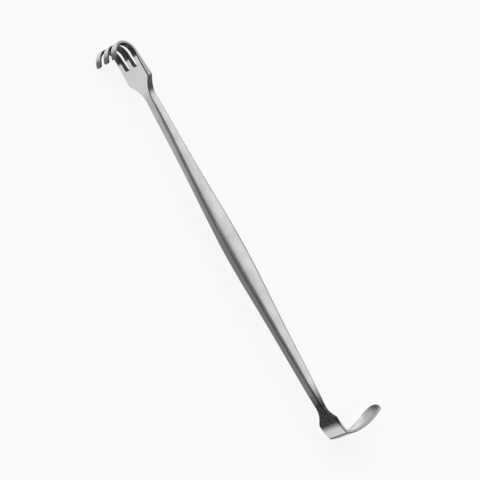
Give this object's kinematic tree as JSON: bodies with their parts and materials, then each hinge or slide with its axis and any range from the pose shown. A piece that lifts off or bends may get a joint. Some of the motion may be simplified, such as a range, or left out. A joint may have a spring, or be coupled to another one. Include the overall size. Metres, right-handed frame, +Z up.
{
  "type": "hand-held surgical retractor",
  "caption": "Steel hand retractor with a blunt curved rake at one end, a flattened tapering handle and a right-angled blade with a turned-up end at the other.",
  "frame": {"origin": "on the surface that the instrument lies on, under the middle of its bounding box", "axes": "+X along the handle towards the blade, +Y the way the blade reaches (the rake's prongs curl towards -Y), +Z up, across the width of the rake and of the blade"},
  "size_m": [0.16, 0.0368, 0.0106],
  "materials": {
    "steel": "satin"
  },
  "bodies": {
    "root": {"retractor": "steel"}
  },
  "joints": []
}
